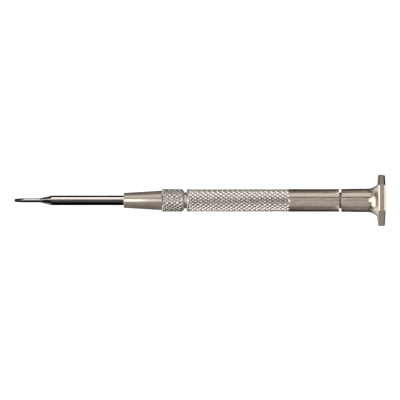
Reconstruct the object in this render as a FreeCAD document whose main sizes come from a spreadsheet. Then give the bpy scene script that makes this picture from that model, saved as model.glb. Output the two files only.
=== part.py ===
"""Watchmaker's screwdriver with a collet chuck and a free-spinning hexagonal head.

Every piece is turned about the X axis. X runs from the blade's tip, at the origin, to the finger
rest of the swivel head. Z points up, away from the flat of the hexagon that the tool lies on.
All sizes are millimetres.
"""
import FreeCAD, Part
import Sketcher
import math
import os

DOCUMENT = "WatchmakerScrewdriver"
SHEET = "Dimensions"
PARTS_FOLDER = "parts"
SMALLEST = 1e-9
STATION_SLACK = 1e-4

# The driving dimensions: stations along X, diameters, and the small clearances between pieces.
DRIVING = {
    # blade
    "blade_length": 50.0,
    "shank_dia": 2.6,
    "rod_dia": 1.12,
    "rod_end": 6.7,
    "shank_start": 9.8,
    "grind_length": 2.87,
    "tip_thickness": 0.24,
    "blade_chamfer": 0.2,
    "blade_roll": -50.0,
    # chuck nut
    "nut_front": 29.0,
    "nut_front_dia": 4.0,
    "nut_cone_end": 39.15,
    "nut_cone_dia": 5.2,
    "nut_rear": 45.1,
    "nut_bevel": 0.6,
    "nut_rear_dia": 4.7,
    "nut_thread_start": 39.6,
    "nose_land": 0.5,
    # collet
    "collet_front_dia": 3.2,
    "collet_body_dia": 3.9,
    "collet_taper": 4.0,
    "collet_rear": 39.95,
    "collet_slot": 0.25,
    "collet_slot_length": 7.5,
    # chuck stem
    "stem_front": 40.0,
    "stem_dia": 4.2,
    "stem_chamfer": 0.25,
    "stem_press_dia": 3.6,
    "stem_press_length": 6.8,
    # handle barrel
    "handle_front": 45.67,
    "handle_dia": 6.0,
    "handle_rear": 86.2,
    "handle_nose_round": 0.5,
    "handle_tail_bevel": 0.15,
    # swivel: spindle, washer, bush and ball
    "spindle_dia": 2.4,
    "spindle_front": 78.1,
    "spindle_chamfer": 0.2,
    "collar_dia": 3.8,
    "collar_length": 1.05,
    "washer_dia": 4.2,
    "washer_thickness": 0.45,
    "bush_dia": 4.8,
    "bush_length": 2.25,
    "ball_dia": 2.0,
    # swivel head
    "head_front": 86.75,
    "head_front_dia": 6.08,
    "head_dia": 6.2,
    "head_full": 91.0,
    "head_front_bevel": 0.14,
    "collar_pocket_dia": 4.2,
    "collar_pocket_end": 90.4,
    "ball_pocket_dia": 2.1,
    "ball_seat_start": 91.71,
    "ball_seat_depth": 0.63,
    "flare_start": 93.6,
    "flare_radius": 3.65,
    "flare_end_dia": 8.94,
    "flange_front": 96.45,
    "overall_length": 98.4,
    "head_flats": 12.0,
    "flange_corner_round": 0.15,
    "flange_edge_round": 0.3,
    "dish_dia": 8.6,
    "dish_depth": 0.3,
    "dish_radius": 31.0,
    # clearances
    "blade_clearance": 0.03,
    "running_clearance": 0.05,
}


class Size:
    """A length in millimetres, kept with the sheet expression that gives it."""

    def __init__(self, value, text):
        self.value = value
        self.text = text

    def __add__(self, other):
        return Size(self.value + other.value, f"({self.text} + {other.text})")

    def __sub__(self, other):
        return Size(self.value - other.value, f"({self.text} - {other.text})")

    def __truediv__(self, divisor):
        return Size(self.value / divisor, f"({self.text} / {divisor})")

    def bind(self, thing, path):
        """Drive one property of a document object from the sheet."""
        thing.setExpression(path, self.text)


D = {name: Size(value, f"{SHEET}.{name}") for name, value in DRIVING.items()}
AXIS = Size(0.0, "0")


def radius(name):
    return D[name] / 2


def write_sheet(doc):
    """Put every driving dimension in a cell of its own, with its name as the alias."""
    sheet = doc.addObject("Spreadsheet::Sheet", SHEET)
    for row, (name, value) in enumerate(DRIVING.items(), start=1):
        sheet.set(f"A{row}", name)
        sheet.set(f"B{row}", str(value))
        sheet.setAlias(f"B{row}", name)
    doc.recompute()


def new_body(doc, label):
    body = doc.addObject("PartDesign::Body", label)
    body.Label = label
    return body


def new_sketch(body, name, plane):
    """A sketch on one of the body's own origin planes."""
    sketch = body.newObject("Sketcher::SketchObject", name)
    support = [f for f in body.Origin.OriginFeatures if f.Role == plane][0]
    sketch.AttachmentSupport = [(support, "")]
    sketch.MapMode = "FlatFace"
    return sketch


def arc_between(start, end, arc_radius):
    """The shorter arc from start to end. A positive radius puts its centre on the left."""
    half = (end - start) * 0.5
    middle = start + half
    left = FreeCAD.Vector(-half.y, half.x, 0).normalize()
    rise = math.sqrt(arc_radius ** 2 - half.Length ** 2)
    side = math.copysign(1.0, arc_radius)
    centre = middle + left * (rise * side)
    crown = centre - left * (abs(arc_radius) * side)
    return Part.Arc(start, crown, end)


def pin_point(sketch, geometry, end, x, y):
    """Hold one end of a line or an arc at a place given by two sizes."""
    for size, kind, axis in ((x, "DistanceX", -2), (y, "DistanceY", -1)):
        if abs(size.value) < SMALLEST:
            sketch.addConstraint(Sketcher.Constraint("PointOnObject", geometry, end, axis))
            continue
        index = sketch.addConstraint(Sketcher.Constraint(kind, -1, 1, geometry, end, size.value))
        size.bind(sketch, f"Constraints[{index}]")


def draw_outline(sketch, outline):
    """A closed outline through (x, y) points.

    A third item, a pair of a radius and the side of its centre, makes an arc of the stretch that
    leads to that point.
    """
    vectors = [FreeCAD.Vector(point[0].value, point[1].value, 0) for point in outline]
    ends = []
    for index, point in enumerate(outline):
        start, end = vectors[index - 1], vectors[index]
        if len(point) == 3:
            arc_radius, side = point[2]
            geometry = sketch.addGeometry(arc_between(start, end, arc_radius.value * side), False)
            turned_over = (sketch.Geometry[geometry].StartPoint - start).Length > SMALLEST
            ends.append((geometry, 2, 1) if turned_over else (geometry, 1, 2))
            number = sketch.addConstraint(Sketcher.Constraint("Radius", geometry, arc_radius.value))
            arc_radius.bind(sketch, f"Constraints[{number}]")
        else:
            geometry = sketch.addGeometry(Part.LineSegment(start, end), False)
            ends.append((geometry, 1, 2))
    for index, (geometry, _, last) in enumerate(ends):
        follower, first, _ = ends[(index + 1) % len(ends)]
        sketch.addConstraint(Sketcher.Constraint("Coincident", geometry, last, follower, first))
        pin_point(sketch, geometry, last, outline[index][0], outline[index][1])


def turned(body, name, outline, kind="PartDesign::Revolution"):
    """A full turn of a half outline, drawn as (x, radius) points, about the tool's axis."""
    sketch = new_sketch(body, f"{name}Outline", "XZ_Plane")
    draw_outline(sketch, outline)
    feature = body.newObject(kind, name)
    feature.Profile = sketch
    feature.ReferenceAxis = (sketch, ["H_Axis"])
    feature.Angle = 360.0
    return feature


def slot_cut(body, name, outline, width):
    """A cut of one width through an outline in the XZ plane, half to each side of the plane."""
    sketch = new_sketch(body, f"{name}Outline", "XZ_Plane")
    draw_outline(sketch, outline)
    cut = body.newObject("PartDesign::Pocket", name)
    cut.Profile = sketch
    cut.SideType = "Symmetric"
    width.bind(cut, "Length")
    return cut


def repeat_about_axis(body, name, feature, sketch, count):
    """Repeat a cut evenly round the tool's axis."""
    pattern = body.newObject("PartDesign::PolarPattern", name)
    pattern.Originals = [feature]
    pattern.Axis = (sketch, ["H_Axis"])
    pattern.Angle = 360.0
    pattern.Occurrences = count
    body.Tip = pattern
    return pattern


def make_blade(doc):
    """Hardened shank drawn down to a slim rod, with two flats ground on it for the screw slot."""
    body = new_body(doc, "blade")
    rod, shank = radius("rod_dia"), radius("shank_dia")
    end, chamfer = D["blade_length"], D["blade_chamfer"]
    turned(body, "BladeTurning", [
        (AXIS, AXIS),
        (AXIS, rod),
        (D["rod_end"], rod),
        (D["shank_start"], shank),
        (end - chamfer, shank),
        (end, shank - chamfer),
        (end, AXIS),
    ])
    flat = slot_cut(body, "BladeFlat", [
        (AXIS, radius("tip_thickness")),
        (AXIS, rod),
        (D["grind_length"], rod),
    ], D["rod_dia"] + D["rod_dia"])
    repeat_about_axis(body, "BladeFlats", flat, flat.Profile[0], 2)
    body.Placement = FreeCAD.Placement(FreeCAD.Vector(), FreeCAD.Rotation(FreeCAD.Vector(1, 0, 0), 1))
    D["blade_roll"].bind(body, "Placement.Rotation.Angle")
    return body


def make_collet(doc):
    """Spring collet in four jaws, wholly inside the nose of the chuck nut."""
    body = new_body(doc, "collet")
    bore = radius("shank_dia") + D["blade_clearance"]
    front = D["nut_front"] + D["nose_land"]
    turned(body, "ColletTurning", [
        (front, bore),
        (front, radius("collet_front_dia")),
        (front + D["collet_taper"], radius("collet_body_dia")),
        (D["collet_rear"], radius("collet_body_dia")),
        (D["collet_rear"], bore),
    ])
    slot_end = front + D["collet_slot_length"]
    slot = slot_cut(body, "ColletSlot", [
        (front, AXIS),
        (front, D["collet_body_dia"]),
        (slot_end, D["collet_body_dia"]),
        (slot_end, AXIS),
    ], D["collet_slot"])
    repeat_about_axis(body, "ColletSlots", slot, slot.Profile[0], 4)
    return body


def make_chuck_nut(doc):
    """Tapered nose and knurled ring in one, with the closing taper and the thread inside."""
    body = new_body(doc, "chuck_nut")
    gap = D["running_clearance"]
    nose_hole = radius("collet_front_dia") + gap
    collet_bore = radius("collet_body_dia") + gap
    thread = radius("stem_dia") + gap
    ring = radius("handle_dia")
    taper_start = D["nut_front"] + D["nose_land"]
    ring_front = D["nut_cone_end"] + D["handle_tail_bevel"]
    turned(body, "NutTurning", [
        (D["nut_front"], nose_hole),
        (D["nut_front"], radius("nut_front_dia")),
        (D["nut_cone_end"], radius("nut_cone_dia")),
        (D["nut_cone_end"], ring - D["handle_tail_bevel"]),
        (ring_front, ring),
        (D["nut_rear"] - D["nut_bevel"], ring),
        (D["nut_rear"], radius("nut_rear_dia")),
        (D["nut_rear"], thread),
        (D["nut_thread_start"], thread),
        (D["nut_thread_start"], collet_bore),
        (taper_start + D["collet_taper"], collet_bore),
        (taper_start, nose_hole),
    ])
    return body


def make_chuck_stem(doc):
    """Hollow threaded stem pressed into the handle. The blade bottoms in its bore."""
    body = new_body(doc, "chuck_stem")
    bore = radius("shank_dia") + D["blade_clearance"]
    outer, shank = radius("stem_dia"), radius("stem_press_dia")
    front, chamfer = D["stem_front"], D["stem_chamfer"]
    shoulder = D["handle_front"]
    end = shoulder + D["stem_press_length"]
    bore_end = D["blade_length"] + D["running_clearance"]
    turned(body, "StemTurning", [
        (front, bore),
        (front, outer - chamfer),
        (front + chamfer, outer),
        (shoulder, outer),
        (shoulder, shank),
        (end, shank),
        (end, AXIS),
        (bore_end, AXIS),
        (bore_end, bore),
    ])
    return body


def make_handle_barrel(doc):
    """Round barrel with a socket at each end: for the chuck stem and for the swivel spindle."""
    body = new_body(doc, "handle_barrel")
    outer, socket, rear_bore = radius("handle_dia"), radius("stem_press_dia"), radius("spindle_dia")
    front, rear = D["handle_front"], D["handle_rear"]
    nose, bevel = D["handle_nose_round"], D["handle_tail_bevel"]
    socket_end = front + D["stem_press_length"] + D["running_clearance"]
    rear_bore_start = D["spindle_front"] - D["running_clearance"]
    turned(body, "BarrelTurning", [
        (front, socket),
        (front, outer - nose),
        (front + nose, outer, (nose, -1)),
        (rear - bevel, outer),
        (rear, outer - bevel),
        (rear, rear_bore),
        (rear_bore_start, rear_bore),
        (rear_bore_start, AXIS),
        (socket_end, AXIS),
        (socket_end, socket),
    ])
    return body


def make_swivel_spindle(doc):
    """Headed steel pin pressed into the handle. Its collar keeps the swivel head on."""
    body = new_body(doc, "swivel_spindle")
    pin, chamfer = radius("spindle_dia"), D["spindle_chamfer"]
    collar_front = D["head_front"] + D["bush_length"] + D["running_clearance"]
    collar_rear = collar_front + D["collar_length"]
    turned(body, "SpindleTurning", [
        (D["spindle_front"], AXIS),
        (D["spindle_front"], pin - chamfer),
        (D["spindle_front"] + chamfer, pin),
        (collar_front, pin),
        (collar_front, radius("collar_dia")),
        (collar_rear, radius("collar_dia")),
        (collar_rear, AXIS),
    ])
    return body


def make_ring(doc, label, start, end, inner, outer):
    """A plain turned ring round the axis."""
    body = new_body(doc, label)
    turned(body, "RingTurning", [(start, inner), (start, outer), (end, outer), (end, inner)])
    return body


def make_thrust_washer(doc):
    """Thin washer that keeps the spinning head off the handle's end."""
    rear = D["head_front"] - D["running_clearance"]
    bore = radius("spindle_dia") + D["running_clearance"]
    return make_ring(doc, "thrust_washer", rear - D["washer_thickness"], rear, bore, radius("washer_dia"))


def make_retaining_bush(doc):
    """Bronze bearing bush pressed into the mouth of the head, in front of the collar."""
    bore = radius("spindle_dia") + D["running_clearance"]
    front = D["head_front"]
    return make_ring(doc, "retaining_bush", front, front + D["bush_length"], bore, radius("bush_dia"))


def make_thrust_ball(doc):
    """Steel ball that carries the finger's push from the head to the spindle."""
    ball = doc.addObject("Part::Sphere", "thrust_ball")
    ball.Label = "thrust_ball"
    gap = D["running_clearance"]
    collar_rear = D["head_front"] + D["bush_length"] + gap + D["collar_length"]
    radius("ball_dia").bind(ball, "Radius")
    (collar_rear + gap + radius("ball_dia")).bind(ball, "Placement.Base.x")
    return ball


def draw_hexagon(sketch, flats):
    """A regular hexagon about the sketch's origin, with a flat at the top and at the bottom."""
    corner = Size(flats.value / math.sqrt(3.0), f"({flats.text} / sqrt(3))")
    angles = [math.radians(60 * step) for step in range(6)]
    corners = [FreeCAD.Vector(corner.value * math.cos(a), corner.value * math.sin(a), 0) for a in angles]
    for start, end in zip(corners, corners[1:] + corners[:1]):
        sketch.addGeometry(Part.LineSegment(start, end), False)
    circle = Part.Circle(FreeCAD.Vector(), FreeCAD.Vector(0, 0, 1), corner.value)
    guide = sketch.addGeometry(circle, True)
    sketch.addConstraint(Sketcher.Constraint("Coincident", guide, 3, -1, 1))
    size = sketch.addConstraint(Sketcher.Constraint("Radius", guide, corner.value))
    corner.bind(sketch, f"Constraints[{size}]")
    for side in range(6):
        sketch.addConstraint(Sketcher.Constraint("Coincident", side, 2, (side + 1) % 6, 1))
        sketch.addConstraint(Sketcher.Constraint("PointOnObject", side, 1, guide))
    for side in range(1, 6):
        sketch.addConstraint(Sketcher.Constraint("Equal", 0, side))
    sketch.addConstraint(Sketcher.Constraint("Horizontal", 1))


def edges_between(shape, low_x, high_x, least_radius):
    """The open edges between two stations that lie at least so far from the axis."""
    chosen = []
    for number, edge in enumerate(shape.Edges, start=1):
        box = edge.BoundBox
        inside = box.XMin > low_x - STATION_SLACK and box.XMax < high_x + STATION_SLACK
        away = all(math.hypot(v.Y, v.Z) > least_radius for v in edge.Vertexes)
        if inside and away and len(edge.Vertexes) == 2:
            chosen.append(f"Edge{number}")
    return chosen


def make_swivel_head(doc):
    """Hexagonal finger rest on a flared neck, bored for the bush, the collar and the ball."""
    body = new_body(doc, "swivel_head")
    front, end, bevel = D["head_front"], D["overall_length"], D["head_front_bevel"]
    bush_end = front + D["bush_length"]
    seat_end = D["ball_seat_start"] + D["ball_seat_depth"]
    turned(body, "HeadTurning", [
        (front, radius("bush_dia")),
        (front, radius("head_front_dia") - bevel),
        (front + bevel, radius("head_front_dia")),
        (D["head_full"], radius("head_dia")),
        (D["flare_start"], radius("head_dia")),
        (D["flange_front"], radius("flare_end_dia"), (D["flare_radius"], 1)),
        (end, radius("flare_end_dia")),
        (end, AXIS),
        (seat_end, AXIS),
        (D["ball_seat_start"], radius("ball_pocket_dia")),
        (D["collar_pocket_end"], radius("ball_pocket_dia")),
        (D["collar_pocket_end"], radius("collar_pocket_dia")),
        (bush_end, radius("collar_pocket_dia")),
        (bush_end, radius("bush_dia")),
    ])
    hexagon = new_sketch(body, "FlangeOutline", "YZ_Plane")
    draw_hexagon(hexagon, D["head_flats"])
    D["flange_front"].bind(hexagon, "AttachmentOffset.Base.z")
    flange = body.newObject("PartDesign::Pad", "Flange")
    flange.Profile = hexagon
    (end - D["flange_front"]).bind(flange, "Length")
    doc.recompute()

    rim = D["head_flats"].value / 2
    low, high = D["flange_front"].value, end.value
    corners = body.newObject("PartDesign::Fillet", "FlangeCorners")
    rim_edges = set(edges_between(flange.Shape, low, high, rim))
    front_edges = set(edges_between(flange.Shape, low, low, rim))
    rear_edges = set(edges_between(flange.Shape, high, high, rim))
    corners.Base = (flange, sorted(rim_edges - front_edges - rear_edges))
    D["flange_corner_round"].bind(corners, "Radius")
    doc.recompute()

    edges = body.newObject("PartDesign::Fillet", "FlangeEdges")
    loops = edges_between(corners.Shape, low, low, rim) + edges_between(corners.Shape, high, high, rim)
    edges.Base = (corners, loops)
    D["flange_edge_round"].bind(edges, "Radius")
    doc.recompute()

    turned(body, "FingerDish", [
        (end, AXIS),
        (end - D["dish_depth"], AXIS),
        (end, radius("dish_dia"), (D["dish_radius"], 1)),
    ], "PartDesign::Groove")
    return body


def check(doc, pieces):
    """Stop if any feature failed or any piece is not one valid solid."""
    for item in doc.Objects:
        if {"Invalid", "Error"} & set(item.State):
            raise RuntimeError(f"{item.Name} did not recompute: {item.State}")
    for piece in pieces:
        shape = piece.Shape
        if shape.isNull() or not shape.isValid() or len(shape.Solids) != 1:
            raise RuntimeError(f"{piece.Label} is not one valid solid")


def main():
    doc = FreeCAD.newDocument(DOCUMENT)
    write_sheet(doc)
    makers = (
        make_blade,
        make_collet,
        make_chuck_nut,
        make_chuck_stem,
        make_handle_barrel,
        make_swivel_spindle,
        make_thrust_washer,
        make_retaining_bush,
        make_thrust_ball,
        make_swivel_head,
    )
    pieces = [maker(doc) for maker in makers]
    doc.recompute()
    check(doc, pieces)
    os.makedirs(PARTS_FOLDER, exist_ok=True)
    for piece in pieces:
        piece.Shape.exportStep(f"{PARTS_FOLDER}/{piece.Label}.step")
        print(f"{piece.Label}: {piece.Shape.Volume:.3f} mm3")


main()
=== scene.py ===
"""Studio model of the watchmaker's screwdriver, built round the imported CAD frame.

Lengths are metres in the CAD frame: X runs from the blade's tip to the finger rest, Z is up.
Every turned piece is a lathe outline of (station, radius) points. Knurls and threads are real
relief in the mesh, worked out from their helices.
"""

import math

import bmesh
import bpy
import numpy as np
from mathutils import Matrix, Vector


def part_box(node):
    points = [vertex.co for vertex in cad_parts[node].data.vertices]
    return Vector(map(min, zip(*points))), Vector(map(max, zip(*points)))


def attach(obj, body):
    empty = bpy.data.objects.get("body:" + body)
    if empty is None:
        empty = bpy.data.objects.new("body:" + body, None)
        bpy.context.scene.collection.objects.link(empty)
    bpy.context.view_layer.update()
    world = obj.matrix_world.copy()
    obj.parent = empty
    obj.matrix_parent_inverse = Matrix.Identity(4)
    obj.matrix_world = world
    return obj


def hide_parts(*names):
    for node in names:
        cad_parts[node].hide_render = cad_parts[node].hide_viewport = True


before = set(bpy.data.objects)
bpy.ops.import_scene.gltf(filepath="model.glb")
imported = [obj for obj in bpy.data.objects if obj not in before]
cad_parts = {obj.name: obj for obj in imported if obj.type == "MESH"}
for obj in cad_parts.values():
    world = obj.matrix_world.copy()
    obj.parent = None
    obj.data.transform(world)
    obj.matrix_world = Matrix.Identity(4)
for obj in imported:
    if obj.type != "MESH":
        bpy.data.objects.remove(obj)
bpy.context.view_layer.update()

MM = 0.001
X_AXIS = Vector((1, 0, 0))

# ---------------------------------------------------------------- sizes, in metres

BLADE_LOW, BLADE_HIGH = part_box("blade")
NUT_LOW, NUT_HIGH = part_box("chuck_nut")
STEM_LOW, STEM_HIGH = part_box("chuck_stem")
HANDLE_LOW, HANDLE_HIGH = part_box("handle_barrel")
HEAD_LOW, HEAD_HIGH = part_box("swivel_head")
SPINDLE_LOW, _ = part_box("swivel_spindle")
_, BUSH_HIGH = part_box("retaining_bush")

GRIP_R = 3.0 * MM
HOLE_GAP = 0.05 * MM  # between the bottom of a hole and the piece in it

SHANK_R = 1.30 * MM
ROD_R = 0.56 * MM
ROD_END = BLADE_LOW.x + 6.7 * MM
SHANK_START = BLADE_LOW.x + 9.8 * MM
BLADE_CHAMFER = 0.2 * MM
GRIND_LENGTH = 2.87 * MM
TIP_HALF_THICKNESS = 0.12 * MM
TIP_ROUND = 0.04 * MM
BLADE_ROLL = math.radians(-50)
BLADE_ANGLES = 96

NUT_FRONT_R = 2.0 * MM
NUT_FRONT_ROUND = 0.16 * MM
NUT_CONE_R = 2.6 * MM
NUT_CONE_END = NUT_LOW.x + 10.15 * MM
NUT_RING_FRONT = NUT_CONE_END + 0.25 * MM
NUT_RING_FRONT_R = GRIP_R - 0.2 * MM
NUT_BEVEL = 0.6 * MM
NUT_BEVEL_BREAK, NUT_BEVEL_BREAK_R = 0.22 * MM, 2.62 * MM
NUT_REAR_R = 2.35 * MM
NUT_HOLE_R, NUT_BORE_R, NUT_THREAD_R = 1.65 * MM, 2.0 * MM, 2.15 * MM
NUT_TAPER_START, NUT_TAPER_END = NUT_LOW.x + 0.5 * MM, NUT_LOW.x + 4.5 * MM
NUT_THREAD_START = NUT_LOW.x + 10.6 * MM

STEM_R = 2.1 * MM
STEM_BORE_R = 1.33 * MM
STEM_SHANK_R = 1.8 * MM
STEM_CHAMFER = 0.25 * MM
STEM_ANGLES = 72
THREAD_PITCH = 0.5 * MM
THREAD_DEPTH = 0.27 * MM
THREAD_STEEPNESS = 1.25
THREAD_START = STEM_LOW.x + 0.3 * MM
THREAD_END = STEM_LOW.x + 4.9 * MM
THREAD_FADE_IN, THREAD_FADE_OUT = 0.3 * MM, 0.5 * MM
RINGS_PER_THREAD = 10

KNURL_STARTS = 17
KNURL_PITCH_DOWN = 1.42 * MM
KNURL_PITCH_UP = 1.31 * MM
KNURL_FADE = 0.25 * MM
KNURL_DEPTH, KNURL_STEEPNESS = 0.21 * MM, 1.75
NUT_KNURL_DEPTH, NUT_KNURL_STEEPNESS = 0.13 * MM, 1.7
KNURL_START, KNURL_END = HANDLE_LOW.x + 0.4 * MM, 72.9 * MM
KNURL_SKIN_R = GRIP_R - 1.3 * KNURL_DEPTH
KNURL_SAMPLES = 8
KNURL_ANGLES = KNURL_STARTS * KNURL_SAMPLES

HANDLE_NOSE_R = 0.5 * MM
SPINDLE_HOLE_R = 1.2 * MM

HEAD_FRONT_R, HEAD_FRONT_ROUND = 3.04 * MM, 0.15 * MM
NECK_R = 3.1 * MM
FLARE_START, FLARE_R = 93.6 * MM, 3.65 * MM
FLANGE = 96.45 * MM
FLANGE_SIDES = FLANGE + 0.35 * MM
HEX_FLAT = HEAD_HIGH.z
HEX_CORNER_ROUND = 0.16 * MM
# The flange's softened edges: millimetres from its face, and millimetres in from its flats.
FRONT_EDGE = [(0, 0.2), (0.03, 0.16), (0.06, 0.13), (0.1, 0.11), (0.35, 0.016), (0.4, 0)]
REAR_EDGE = [(0.46, 0), (0.42, 0.016), (0.16, 0.166), (0.1, 0.2), (0.04, 0.24), (0, 0.3)]
DISH_R, DISH_DEPTH = 4.3 * MM, 0.3 * MM
SOCKET_R, SOCKET_END = 2.1 * MM, 90.4 * MM
BALL_HOLE_R, BALL_HOLE_END, BALL_HOLE_POINT = 1.05 * MM, 91.71 * MM, 92.34 * MM


# ---------------------------------------------------------------- lathe work

def ring_angles(count):
    """Evenly spaced angles about the axis, by the right-hand rule from +Y."""
    return np.arange(count) * (2 * math.pi / count)


def rounded(outline):
    """(station, radius) points, with each corner that has a third item rounded to that size."""
    count = len(outline)
    points = []
    for index, corner in enumerate(outline):
        here = np.array(corner[:2], float)
        if len(corner) < 3:
            points.append(tuple(here))
            continue
        before = np.array(outline[index - 1][:2], float) - here
        after = np.array(outline[(index + 1) % count][:2], float) - here
        start = here + before / np.linalg.norm(before) * corner[2]
        end = here + after / np.linalg.norm(after) * corner[2]
        for step in np.linspace(0, 1, 5):
            curve = (1 - step) ** 2 * start + 2 * step * (1 - step) * here + step ** 2 * end
            points.append(tuple(curve))
    return points


def lathe(name, rings, angles, closed):
    """A mesh through rings of (station, radius). A radius may differ from angle to angle.

    A third item turns the ring about the axis. Two turned rings are joined by triangles, whose
    diagonals run back along the other helix. closed joins the last ring to the first, for a
    hollow piece. Otherwise the ends meet the axis.
    """
    count = len(angles)
    vertices, loops = [], []
    for station, radius, *turned in rings:
        twist = turned[0] if turned else 0.0
        start = len(vertices)
        if np.ndim(radius) == 0 and radius <= 1e-9:
            loops.append(([start], 0.0, False))
            vertices.append((station, 0.0, 0.0))
            continue
        across = np.broadcast_to(radius, angles.shape) * np.cos(angles + twist)
        upward = np.broadcast_to(radius, angles.shape) * np.sin(angles + twist)
        loops.append((list(range(start, start + count)), twist, bool(turned)))
        vertices += list(zip([station] * count, across, upward))
    pairs = list(zip(loops, loops[1:]))
    if closed:
        pairs.append((loops[-1], loops[0]))
    faces = []
    for (first, first_twist, first_turned), (second, second_twist, second_turned) in pairs:
        shift = round((first_twist - second_twist) / (2 * math.pi) * count)
        for a in range(count):
            b = (a + 1) % count
            c, d = (a + shift) % count, (b + shift) % count
            if len(first) == 1 and len(second) == 1:
                continue
            if len(first) == 1:
                faces.append((first[0], second[b], second[a]))
            elif len(second) == 1:
                faces.append((first[a], first[b], second[0]))
            elif first_turned and second_turned:
                faces.append((first[a], first[b], second[c]))
                faces.append((first[b], second[d], second[c]))
            else:
                faces.append((first[a], first[b], second[d], second[c]))
    mesh = bpy.data.meshes.new(name)
    mesh.from_pydata([tuple(map(float, v)) for v in vertices], [], faces)
    return mesh


def finish_piece(name, mesh, sharp_degrees):
    """Put a mesh in the scene, facing outwards and smooth except across real edges."""
    work = bmesh.new()
    work.from_mesh(mesh)
    bmesh.ops.recalc_face_normals(work, faces=work.faces)
    work.to_mesh(mesh)
    work.free()
    mesh.polygons.foreach_set("use_smooth", [True] * len(mesh.polygons))
    mesh.set_sharp_from_angle(angle=math.radians(sharp_degrees))
    piece = bpy.data.objects.new(name, mesh)
    bpy.context.scene.collection.objects.link(piece)
    return piece


def groove(turns):
    """0 at the bottom of each groove and 1 midway between grooves, by the turns from one."""
    return np.abs(((turns + 0.5) % 1.0) - 0.5) * 2


def fade(value, start, end):
    """A smooth step from 0 at start to 1 at end."""
    t = np.clip((value - start) / (end - start), 0, 1)
    return t * t * (3 - 2 * t)


def knurl_rings(first, last, depth, steepness):
    """Diamond knurl: two crossing sets of helical grooves, running out at both ends.

    The rings turn along one set of helices and stand where the other set crosses them, so that
    both sets of grooves run along the mesh's edges. A steepness over 1 leaves flat-topped diamonds.
    """
    cell = 1 / (1 / KNURL_PITCH_DOWN + 1 / KNURL_PITCH_UP)
    step = cell / KNURL_SAMPLES
    angles = ring_angles(KNURL_ANGLES)
    rings = []
    for x in np.arange(round((last - first) / step) + 1) * step + first:
        twist = (x - first) / KNURL_PITCH_DOWN * 2 * math.pi / KNURL_STARTS
        turn = (angles + twist) * KNURL_STARTS / (2 * math.pi)
        down = groove(turn - (x - first) / KNURL_PITCH_DOWN)
        up = groove(turn + (x - first) / KNURL_PITCH_UP)
        height = np.minimum(np.minimum(down, up) * steepness, 1.0)
        relief = fade(x, first, first + KNURL_FADE) * (1 - fade(x, last - KNURL_FADE, last))
        rings.append((x, GRIP_R - depth * (1 - height) * relief, twist))
    return rings


# ---------------------------------------------------------------- pieces

def make_blade():
    """Polished shank, cone and rod, with the two flats of the screwdriver tip ground on it."""
    end = BLADE_HIGH.x
    outline = rounded([
        (0.0, 0.0),
        (0.0, ROD_R, TIP_ROUND),
        (ROD_END, ROD_R),
        (SHANK_START, SHANK_R),
        (end - BLADE_CHAMFER, SHANK_R),
        (end, SHANK_R - BLADE_CHAMFER),
        (end, 0.0),
    ])
    mesh = lathe("blade_polished", outline, ring_angles(BLADE_ANGLES), closed=False)
    work = bmesh.new()
    work.from_mesh(mesh)
    bmesh.ops.recalc_face_normals(work, faces=work.faces)
    slope = math.atan2(ROD_R - TIP_HALF_THICKNESS, GRIND_LENGTH)
    outward = Vector((-math.sin(slope), 0, math.cos(slope)))
    on_flat = Vector((0, 0, TIP_HALF_THICKNESS))
    for side in (0, math.pi):
        turn = Matrix.Rotation(BLADE_ROLL + side, 4, "X")
        everything = work.verts[:] + work.edges[:] + work.faces[:]
        cut = bmesh.ops.bisect_plane(
            work, geom=everything, clear_outer=True,
            plane_co=turn @ on_flat, plane_no=turn @ outward,
        )
        edges = [e for e in cut["geom_cut"] if isinstance(e, bmesh.types.BMEdge)]
        flats = bmesh.ops.holes_fill(work, edges=edges, sides=0)["faces"]
        for face in flats:
            face.material_index = 1
    work.to_mesh(mesh)
    work.free()
    return finish_piece("blade_polished", mesh, sharp_degrees=10)


def make_nut():
    """Tapered nose and knurled ring, with the closing taper and the bore inside."""
    front, rear = NUT_LOW.x, NUT_HIGH.x
    nose = rounded([
        (front, NUT_HOLE_R, 0.05 * MM),
        (front, NUT_FRONT_R, NUT_FRONT_ROUND),
        (NUT_CONE_END, NUT_CONE_R),
        (NUT_CONE_END, NUT_RING_FRONT_R),
    ])
    back = rounded([
        (rear - NUT_BEVEL_BREAK, NUT_BEVEL_BREAK_R),
        (rear, NUT_REAR_R, 0.08 * MM),
        (rear, NUT_THREAD_R),
        (NUT_THREAD_START, NUT_THREAD_R),
        (NUT_THREAD_START, NUT_BORE_R),
        (NUT_TAPER_END, NUT_BORE_R),
        (NUT_TAPER_START, NUT_HOLE_R),
    ])
    band = knurl_rings(NUT_RING_FRONT, rear - NUT_BEVEL, NUT_KNURL_DEPTH, NUT_KNURL_STEEPNESS)
    mesh = lathe("nut_knurled", nose + band + back, ring_angles(KNURL_ANGLES), closed=True)
    return finish_piece("nut_knurled", mesh, sharp_degrees=22)


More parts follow.
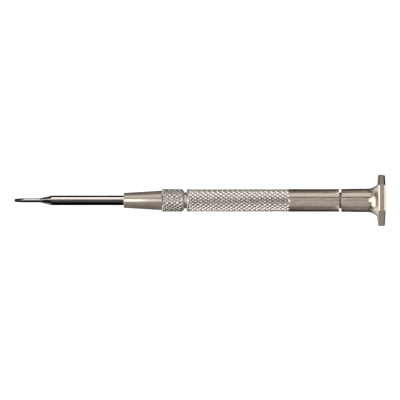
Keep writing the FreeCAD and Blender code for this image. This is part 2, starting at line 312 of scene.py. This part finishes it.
def make_stem():
    """Hollow stem with its screw thread, and the shank that sits in the handle."""
    angles = ring_angles(STEM_ANGLES)
    front, shoulder, end = STEM_LOW.x, HANDLE_LOW.x, STEM_HIGH.x
    steps = round((THREAD_END - THREAD_START) / THREAD_PITCH * RINGS_PER_THREAD)
    thread = []
    for x in np.linspace(THREAD_START, THREAD_END, steps + 1):
        ridge = groove(x / THREAD_PITCH - angles / (2 * math.pi))
        height = np.minimum(ridge * THREAD_STEEPNESS, 1.0)
        depth = THREAD_DEPTH * (1 - fade(x, THREAD_END - THREAD_FADE_OUT, THREAD_END))
        depth *= fade(x, THREAD_START, THREAD_START + THREAD_FADE_IN)
        thread.append((x, STEM_R - depth * (1 - height)))
    bore_end = BLADE_HIGH.x + HOLE_GAP
    bore = [(bore_end, 0.0), (bore_end, STEM_BORE_R)]
    chamfer = [
        (front, STEM_BORE_R),
        (front, STEM_R - STEM_CHAMFER),
        (THREAD_START - 0.05 * MM, STEM_R),
    ]
    rear = [(shoulder, STEM_R), (shoulder, STEM_SHANK_R), (end, STEM_SHANK_R), (end, 0.0)]
    mesh = lathe("stem_threaded", bore + chamfer + thread + rear, angles, closed=False)
    return finish_piece("stem_threaded", mesh, sharp_degrees=50)


def make_handle():
    """Barrel, knurled from its front shoulder, then plain to its rear end, with both sockets."""
    front, rear = HANDLE_LOW.x, HANDLE_HIGH.x
    stem_end, spindle_end = STEM_HIGH.x + HOLE_GAP, SPINDLE_LOW.x - HOLE_GAP
    stem_hole = [(stem_end, 0.0), (stem_end, STEM_SHANK_R), (front, STEM_SHANK_R)]
    shoulder = [
        (front + HANDLE_NOSE_R * (1 - math.cos(a)), GRIP_R - HANDLE_NOSE_R * (1 - math.sin(a)))
        for a in np.linspace(0, math.pi / 2, 7)[:-1]
    ]
    knurl = knurl_rings(front + HANDLE_NOSE_R, KNURL_END, KNURL_DEPTH, KNURL_STEEPNESS)
    plain = [(x, GRIP_R) for x in np.linspace(KNURL_END + 0.5 * MM, rear - 3 * MM, 8)]
    tail = rounded([
        (rear - 2.0 * MM, GRIP_R),
        (rear, GRIP_R, 0.16 * MM),
        (rear, SPINDLE_HOLE_R),
    ])
    spindle_hole = [(spindle_end, SPINDLE_HOLE_R), (spindle_end, 0.0)]
    rings = stem_hole + shoulder + knurl + plain + tail + spindle_hole
    mesh = lathe("handle_knurled", rings, ring_angles(KNURL_ANGLES), closed=False)
    return finish_piece("handle_knurled", mesh, sharp_degrees=22)


def hexagon_angles():
    """Ring angles that are close together at the hexagon's six corners."""
    near = np.array([0, 0.35, 0.8, 1.3, 1.9, 2.8, 4.5, 8, 13, 19, 24.5, 30])
    one_side = np.concatenate([near, 60 - near[::-1][1:]])[:-1]
    return np.radians(np.concatenate([one_side + 60 * side for side in range(6)]))


def hexagon_radius(angles, inset):
    """Distance from the axis to the hexagon, moved in, with slightly rounded corners."""
    flat = HEX_FLAT - inset
    from_flat = ((angles + math.pi / 3) % (math.pi / 3)) - math.pi / 6
    sharp = flat / np.cos(from_flat)
    corner_centre = (flat - HEX_CORNER_ROUND) / math.cos(math.pi / 6)
    off = math.pi / 6 - np.abs(from_flat)
    inside = np.clip(HEX_CORNER_ROUND ** 2 - (corner_centre * np.sin(off)) ** 2, 0, None)
    round_corner = corner_centre * np.cos(off) + np.sqrt(inside)
    near_corner = off < math.asin(HEX_CORNER_ROUND * math.sin(math.pi / 6) / corner_centre)
    return np.where(near_corner, round_corner, sharp)


def make_head():
    """Short barrel, concave flare, hexagonal flange with softened edges, and the finger dish.

    The flange's side faces take the second material.
    """
    angles = hexagon_angles()
    front, end = HEAD_LOW.x, HEAD_HIGH.x
    pocket = [
        (BALL_HOLE_POINT, 0.0),
        (BALL_HOLE_END, BALL_HOLE_R),
        (SOCKET_END, BALL_HOLE_R),
        (SOCKET_END, SOCKET_R),
        (BUSH_HIGH.x, SOCKET_R),
        (BUSH_HIGH.x, BUSH_HIGH.y),
    ]
    barrel = rounded([
        (front, BUSH_HIGH.y),
        (front, HEAD_FRONT_R, HEAD_FRONT_ROUND),
        (front + 1.2 * MM, 3.045 * MM),
        (front + 4.25 * MM, NECK_R),
    ])
    lean = math.asin((FLANGE - FLARE_START) / FLARE_R)
    flare = [
        (FLARE_START + FLARE_R * math.sin(a), NECK_R + FLARE_R * (1 - math.cos(a)))
        for a in np.linspace(0, lean, 19)
    ]
    rings = pocket + barrel + flare
    inner = flare[-1][1]
    outer = hexagon_radius(angles, FRONT_EDGE[0][1] * MM)
    for share in (0.25, 0.5, 0.75):
        rings.append((FLANGE, inner + (outer - inner) * share))
    for back, inset in FRONT_EDGE:
        rings.append((FLANGE + back * MM, hexagon_radius(angles, inset * MM)))
    for before, inset in REAR_EDGE:
        rings.append((end - before * MM, hexagon_radius(angles, inset * MM)))
    rim = hexagon_radius(angles, REAR_EDGE[-1][1] * MM)
    for share in (0.66, 0.33):
        rings.append((end, DISH_R + (rim - DISH_R) * share))
    for share in np.linspace(1, 0, 13):
        rings.append((end - DISH_DEPTH * (1 - share ** 2), DISH_R * share))
    mesh = lathe("head_hexagon", rings, angles, closed=False)
    for face in mesh.polygons:
        on_side = face.center.x > FLANGE_SIDES and abs(face.normal.x) < 0.1
        face.material_index = int(on_side)
    return finish_piece("head_hexagon", mesh, sharp_degrees=30)


# ---------------------------------------------------------------- materials

def new_material(name):
    """A material with a lone Principled shader: the material, its node tree and the shader."""
    material = bpy.data.materials.new(name)
    material.use_nodes = True
    tree = material.node_tree
    tree.nodes.clear()
    shader = tree.nodes.new("ShaderNodeBsdfPrincipled")
    output = tree.nodes.new("ShaderNodeOutputMaterial")
    tree.links.new(shader.outputs["BSDF"], output.inputs["Surface"])
    return material, tree, shader


def add(tree, kind, inputs=(), **settings):
    """A node with its settings and its input values or links."""
    node = tree.nodes.new(kind)
    for key, value in settings.items():
        setattr(node, key, value)
    for key, value in dict(inputs).items():
        if isinstance(value, bpy.types.NodeSocket):
            tree.links.new(value, node.inputs[key])
        else:
            node.inputs[key].default_value = value
    return node


def object_axes(tree):
    """The surface point in metres, and a node that splits it into its three coordinates."""
    point = add(tree, "ShaderNodeTexCoord").outputs["Object"]
    return point, add(tree, "ShaderNodeSeparateXYZ", {0: point})


def maths(tree, operation, a, b=0.0):
    """The result of one arithmetic step on values or links."""
    return add(tree, "ShaderNodeMath", {0: a, 1: b}, operation=operation).outputs[0]


def scaled(tree, value, low, high, to_low, to_high):
    """A value moved from one range to another, held at the ends."""
    node = add(tree, "ShaderNodeMapRange", {
        "Value": value, "From Min": low, "From Max": high, "To Min": to_low, "To Max": to_high,
    })
    return node.outputs["Result"]


def lathe_lines(tree, axes, per_metre):
    """Fine rings left by turning: noise that changes along the axis only."""
    along = maths(tree, "MULTIPLY", axes.outputs["X"], per_metre)
    inputs = {"W": along, "Scale": 1.0, "Detail": 4.0}
    return add(tree, "ShaderNodeTexNoise", inputs, noise_dimensions="1D").outputs["Fac"]


def blotches(tree, point, per_metre):
    """Soft patches that change in all directions."""
    inputs = {"Vector": point, "Scale": per_metre, "Detail": 3.0}
    return add(tree, "ShaderNodeTexNoise", inputs).outputs["Fac"]


def colour_between(tree, factor, first, second):
    """A colour that goes from the first at a factor of 0 to the second at 1."""
    inputs = {0: factor, 6: (*first, 1), 7: (*second, 1)}
    return add(tree, "ShaderNodeMix", inputs, data_type="RGBA").outputs[2]


def axis_radius(tree, axes):
    """The surface point's distance from the tool's axis."""
    squares = [maths(tree, "MULTIPLY", axes.outputs[k], axes.outputs[k]) for k in ("Y", "Z")]
    return maths(tree, "SQRT", maths(tree, "ADD", squares[0], squares[1]))


PATCHES_PER_METRE = 900
TONE_RANGE = (0.12, 0.42)
PATCH_RANGE = (0.3, 0.7)
STRETCH_ALONG_AXIS = 0.25  # the turn of the highlights' stretch, from round the axis to along it


def metal(
    name, light, dark, roughness, spread, lines_per_metre, line_height,
    anisotropy=0, coat=None, groove_shade=None,
):
    """Worked metal: tone and gloss that wander a little, and turning lines across the axis.

    anisotropy draws highlights out along the axis. coat is a clear layer's (roughness, IOR).
    grime is painted shade in the grooves: the base colour darkens towards the groove bottoms, as
    (the radius where it is darkest, the radius where it has gone, its colour).
    """
    material, tree, shader = new_material(name)
    point, axes = object_axes(tree)
    lines = lathe_lines(tree, axes, lines_per_metre)
    patches = blotches(tree, point, PATCHES_PER_METRE)
    tone = maths(tree, "MULTIPLY", lines, patches)
    colour = colour_between(tree, scaled(tree, tone, *TONE_RANGE, 0, 1), dark, light)
    # Painted shade: the base colour darkens to a dark grey towards the bottoms of the knurl's
    # grooves.
    if groove_shade:
        shade_deep, shade_gone, shade_colour = groove_shade
        height = scaled(tree, axis_radius(tree, axes), shade_deep, shade_gone, 0, 1)
        inputs = {0: height, 6: (*shade_colour, 1), 7: colour}
        colour = add(tree, "ShaderNodeMix", inputs, data_type="RGBA").outputs[2]
    tree.links.new(colour, shader.inputs["Base Color"])
    rough = scaled(tree, patches, *PATCH_RANGE, roughness - spread, roughness + spread)
    tree.links.new(rough, shader.inputs["Roughness"])
    bump = add(tree, "ShaderNodeBump", {"Height": lines, "Distance": line_height, "Strength": 1.0})
    tree.links.new(bump.outputs["Normal"], shader.inputs["Normal"])
    shader.inputs["Metallic"].default_value = 1.0
    if anisotropy:
        tangent = add(tree, "ShaderNodeTangent", direction_type="RADIAL", axis="X")
        tree.links.new(tangent.outputs["Tangent"], shader.inputs["Tangent"])
        shader.inputs["Anisotropic"].default_value = anisotropy
        shader.inputs["Anisotropic Rotation"].default_value = STRETCH_ALONG_AXIS
    if coat:
        shader.inputs["Coat Weight"].default_value = 1.0
        shader.inputs["Coat Roughness"].default_value = coat[0]
        shader.inputs["Coat IOR"].default_value = coat[1]
    return material


METALS = {
    "plain_nickel": dict(
        light=(0.46, 0.4, 0.34), dark=(0.37, 0.315, 0.265), roughness=0.36, spread=0.03,
        lines_per_metre=9000, line_height=1e-6, anisotropy=0.7, coat=(0.1, 2.6),
    ),
    "turned_nickel": dict(
        light=(0.47, 0.42, 0.365), dark=(0.37, 0.325, 0.28), roughness=0.64, spread=0.05,
        lines_per_metre=9000, line_height=2e-6, coat=(0.11, 2.6),
    ),
    "milled_nickel": dict(
        light=(0.49, 0.435, 0.38), dark=(0.4, 0.35, 0.305), roughness=0.75, spread=0.05,
        lines_per_metre=9000, line_height=2e-6,
    ),
    "knurled_nickel": dict(
        light=(0.6, 0.59, 0.575), dark=(0.48, 0.465, 0.45), roughness=0.22, spread=0.05,
        lines_per_metre=9000, line_height=1e-6,
        # Painted shade in the knurl's grooves: the base colour darkens towards the groove bottoms.
        groove_shade=(GRIP_R - KNURL_DEPTH, GRIP_R - 0.7 * KNURL_DEPTH, (0.2, 0.195, 0.18)),
    ),
    "polished_steel": dict(
        light=(0.94, 0.93, 0.92), dark=(0.88, 0.865, 0.85), roughness=0.07, spread=0.02,
        lines_per_metre=5000, line_height=4e-8,
    ),
    "ground_steel": dict(
        light=(0.4, 0.37, 0.34), dark=(0.3, 0.275, 0.25), roughness=0.3, spread=0.05,
        lines_per_metre=24000, line_height=3e-6,
    ),
    "machined_steel": dict(
        light=(0.78, 0.77, 0.75), dark=(0.6, 0.59, 0.57), roughness=0.4, spread=0.06,
        lines_per_metre=12000, line_height=2e-6,
    ),
    # Also on the thrust washer. There its dark tone is painted shade for the gap between handle and
    # head.
    "spring_steel": dict(
        light=(0.3, 0.28, 0.27), dark=(0.2, 0.185, 0.18), roughness=0.35, spread=0.05,
        lines_per_metre=12000, line_height=1e-6,
    ),
    "bearing_bronze": dict(
        light=(0.62, 0.42, 0.23), dark=(0.46, 0.3, 0.16), roughness=0.32, spread=0.06,
        lines_per_metre=12000, line_height=2e-6,
    ),
}


def coat_with(piece, *materials):
    """Put these materials on a piece. A face past the last material takes the last one."""
    kinds = [min(face.material_index, len(materials) - 1) for face in piece.data.polygons]
    piece.data.materials.clear()
    for material in materials:
        piece.data.materials.append(material)
    piece.data.polygons.foreach_set("material_index", kinds)


def coat_knurled(piece, plain, knurled, low, high):
    """Put the plain material on a piece, and the knurled one on its skin from low to high."""
    coat_with(piece, plain, knurled)
    for face in piece.data.polygons:
        centre = face.center
        skin = math.hypot(centre.y, centre.z) > KNURL_SKIN_R
        if skin and low < centre.x < high:
            face.material_index = 1


# ---------------------------------------------------------------- studio

CAMERA_ELEVATION = math.radians(83.2)
CAMERA_DISTANCE = 1.8
VIEW_WIDTH = 106.2 * MM
VIEW_CENTRE_X = 49.25 * MM
VIEW_LIFT = 0.1 * MM
SENSOR_WIDTH = 36.0
TO_CAMERA = Vector((0, -math.cos(CAMERA_ELEVATION), math.sin(CAMERA_ELEVATION)))
VIEW_UP = Vector((0, math.sin(CAMERA_ELEVATION), math.cos(CAMERA_ELEVATION)))


def make_camera():
    """The camera, high above the tool and a little to its near side, with the tip to the left."""
    data = bpy.data.cameras.new("camera")
    data.sensor_width = SENSOR_WIDTH
    data.lens = SENSOR_WIDTH * CAMERA_DISTANCE / VIEW_WIDTH
    camera = bpy.data.objects.new("camera", data)
    target = Vector((VIEW_CENTRE_X, 0, 0)) + VIEW_UP * VIEW_LIFT
    camera.location = target + TO_CAMERA * CAMERA_DISTANCE
    camera.rotation_mode = "QUATERNION"
    camera.rotation_quaternion = (-TO_CAMERA).to_track_quat("-Z", "Y")
    data.clip_start, data.clip_end = 0.01, 20
    bpy.context.scene.collection.objects.link(camera)
    bpy.context.scene.camera = camera


LIGHT_TINT = (1.0, 0.95, 0.89)
FAR, MIDDLE, NEAR = 0.9, 0.3, 0.15  # metres from the tool to a light

# Rectangular lights: name, angles across, angles along, radiance, distance. Angles across turn
# about the tool's axis from the camera's side towards +Y. Angles along lean towards +X.
LIGHTS = [
    ("key", (37, 78), (-24, 24), 1.2, FAR),
    ("strip", (12, 21.5), (-24, 24), 0.95, FAR),
    ("upper_front", (38, 104), (-54, -30), 0.65, FAR),
    ("upper_rear", (38, 104), (28, 54), 0.6, FAR),
    ("rim_rear", (80, 108), (8, 26), 0.7, FAR),
    ("near_rim", (74, 118), (20, 38), 1.5, NEAR),
    ("end_near", (-11, 11), (-20, -6), 2.0, FAR),
    ("near_card", (-7, 7), (-6, 4), 2.0, NEAR),
    ("near_front", (-62, -10), (0, 30), 0.62, NEAR),
    ("end_mid", (-18, 18), (-29.5, -14), 2.6, MIDDLE),
    ("end_far", (-52, 22), (-70, -36), 3.0, FAR),
    ("rear_light", (-52, 22), (32, 54), 0.7, FAR),
    ("rear_low", (-34, 34), (56, 72), 2.8, FAR),
    ("low_front", (-104, -74), (-60, -34), 0.7, FAR),
    ("low_rear", (-108, -76), (8, 60), 0.5, FAR),
    ("near_low", (-116, -60), (20, 38), 1.3, NEAR),
    ("front_fill", (-48, -4), (-20, 20), 0.06, FAR),
]


def softbox(name, across, along, radiance, distance):
    """A rectangular light that faces the tool and fills the given (low, high) degrees."""
    side = math.radians(sum(across) / 2)
    lean = math.radians(sum(along) / 2)
    to_light = (TO_CAMERA * math.cos(side) + VIEW_UP * math.sin(side)) * math.cos(lean)
    to_light += X_AXIS * math.sin(lean)
    data = bpy.data.lights.new(name, "AREA")
    data.shape = "RECTANGLE"
    data.size = 2 * distance * math.tan(math.radians(along[1] - along[0]) / 2)
    data.size_y = 2 * distance * math.tan(math.radians(across[1] - across[0]) / 2)
    data.energy = radiance * math.pi * data.size * data.size_y
    data.color = LIGHT_TINT
    light = bpy.data.objects.new(name, data)
    light.location = Vector((VIEW_CENTRE_X, 0, 0)) + to_light * distance
    back = to_light.normalized()
    right = (X_AXIS - back * back.dot(X_AXIS)).normalized()
    up = back.cross(right)
    light.rotation_euler = Matrix((right, up, back)).transposed().to_euler()
    light.visible_camera = False
    bpy.context.scene.collection.objects.link(light)


def make_lights():
    """All the lights, in the table's order."""
    for settings in LIGHTS:
        softbox(*settings)


# Each glow, with the range of a direction's coordinate over which it fades in.
FRONT_GLOW, FRONT_RANGE = 0.65, (-0.24, -0.33)
END_GLOW, END_RANGE = 0.7, (0.5, 0.65)
BELOW_RANGE = (-0.1, -0.25)


def make_world():
    """White to the camera. To the tool, a dark room with a glow low down towards its ends."""
    world = bpy.data.worlds.new("studio")
    bpy.context.scene.world = world
    world.use_nodes = True
    tree = world.node_tree
    tree.nodes.clear()
    path = add(tree, "ShaderNodeLightPath")
    direction = add(tree, "ShaderNodeTexCoord").outputs["Generated"]
    axes = add(tree, "ShaderNodeSeparateXYZ", {0: direction})
    front = scaled(tree, axes.outputs["X"], *FRONT_RANGE, 0.0, FRONT_GLOW)
    below = scaled(tree, axes.outputs["Z"], *BELOW_RANGE, 0.0, 1.0)
    lengthwise = maths(tree, "ABSOLUTE", axes.outputs["X"])
    ends = scaled(tree, lengthwise, *END_RANGE, 0.0, END_GLOW)
    glow = maths(tree, "MULTIPLY", maths(tree, "ADD", front, ends), below)
    around = add(tree, "ShaderNodeBackground", {"Color": (*LIGHT_TINT, 1), "Strength": glow})
    seen = add(tree, "ShaderNodeBackground", {"Color": (1, 1, 1, 1), "Strength": 1.0})
    mix = add(tree, "ShaderNodeMixShader", {
        0: path.outputs["Is Camera Ray"], 1: around.outputs[0], 2: seen.outputs[0],
    })
    add(tree, "ShaderNodeOutputWorld", {"Surface": mix.outputs[0]})


FLOOR_LEAN = math.radians(2.5)
FLOOR_HALF = 1.2
FLOOR_PIVOT_X = HEAD_HIGH.x - 0.3 * MM
FLOOR_LIGHT, FLOOR_DARK = (0.47, 0.47, 0.468), (0.43, 0.43, 0.428)


def make_floor():
    """A pale sheet under the flange's lower flat, leaning clear of a drawn-out blade."""
    mesh = bpy.data.meshes.new("floor")
    pivot = Vector((FLOOR_PIVOT_X, 0, HEAD_LOW.z))
    corners = [(-1, -1), (1, -1), (1, 1), (-1, 1)]
    lean = Matrix.Rotation(FLOOR_LEAN, 4, "Y")
    vertices = [pivot + lean @ Vector((x * FLOOR_HALF, y * FLOOR_HALF, 0)) for x, y in corners]
    mesh.from_pydata(vertices, [], [(0, 1, 2, 3)])
    floor = bpy.data.objects.new("floor", mesh)
    bpy.context.scene.collection.objects.link(floor)
    material, tree, shader = new_material("pale_floor")
    point, _ = object_axes(tree)
    paper = colour_between(tree, blotches(tree, point, 400), FLOOR_DARK, FLOOR_LIGHT)
    tree.links.new(paper, shader.inputs["Base Color"])
    shader.inputs["Roughness"].default_value = 0.9
    shader.inputs["Emission Color"].default_value = (0.96, 0.98, 1.0, 1)
    shader.inputs["Emission Strength"].default_value = 0.9
    floor.data.materials.append(material)
    floor.visible_glossy = False
    floor.visible_shadow = False


# ---------------------------------------------------------------- assembly

def build():
    """Make the pieces that stand in for CAD nodes, and coat the nodes that stay as they are."""
    materials = {name: metal(name, **settings) for name, settings in METALS.items()}
    plain, turned = materials["plain_nickel"], materials["turned_nickel"]
    knurled = materials["knurled_nickel"]

    blade = make_blade()
    coat_with(blade, materials["polished_steel"], materials["ground_steel"])
    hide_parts("blade")
    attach(blade, "blade")

    nut = make_nut()
    coat_knurled(nut, turned, knurled, NUT_CONE_END, NUT_HIGH.x - NUT_BEVEL)
    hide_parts("chuck_nut")
    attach(nut, "chuck_nut")

    stem = make_stem()
    coat_with(stem, materials["machined_steel"])
    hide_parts("chuck_stem")
    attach(stem, "handle")

    handle = make_handle()
    coat_knurled(handle, plain, knurled, KNURL_START, KNURL_END)
    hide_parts("handle_barrel")
    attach(handle, "handle")

    head = make_head()
    coat_with(head, plain, materials["milled_nickel"])
    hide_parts("swivel_head")
    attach(head, "swivel_head")

    coat_with(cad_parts["collet"], materials["spring_steel"])
    coat_with(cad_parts["swivel_spindle"], materials["machined_steel"])
    # Painted shade: the washer takes the dark steel so that the gap between handle and head reads
    # as a dark slot.
    coat_with(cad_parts["thrust_washer"], materials["spring_steel"])
    coat_with(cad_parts["retaining_bush"], materials["bearing_bronze"])
    coat_with(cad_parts["thrust_ball"], materials["polished_steel"])


build()
make_floor()
make_world()
make_lights()
make_camera()
bpy.context.scene.view_settings.view_transform = "Standard"
